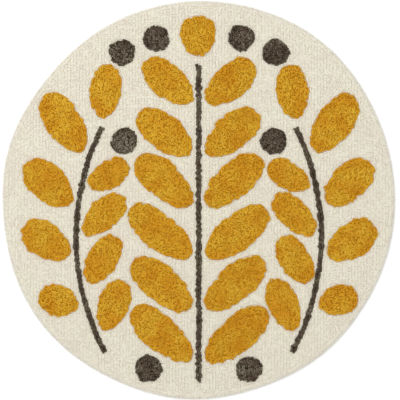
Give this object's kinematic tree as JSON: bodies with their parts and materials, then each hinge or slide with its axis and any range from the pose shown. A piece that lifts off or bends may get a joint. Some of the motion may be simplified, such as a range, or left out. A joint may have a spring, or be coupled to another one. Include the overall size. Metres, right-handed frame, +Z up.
{
  "type": "round tufted children's rug",
  "caption": "Round flat cotton rug for a child's room, with a low ground pile and taller tufted leaf sprigs and berries in its face.",
  "frame": {"origin": "middle of the rug's underside, on the floor", "axes": "+Z up, through the rug's thickness; +Y the way the middle sprig grows; +X to the right seen from above"},
  "size_m": [1.0916, 1.1079, 0.0145],
  "materials": {
    "cream_pile": "low cut cotton pile, undyed cream, matt",
    "mustard_pile": "taller cut cotton pile, dyed mustard, matt",
    "charcoal_pile": "taller cut cotton pile, dyed brown charcoal, matt",
    "canvas_back": "plain woven cotton canvas, matt"
  },
  "bodies": {
    "root": {"rug": "cream_pile"}
  },
  "joints": []
}
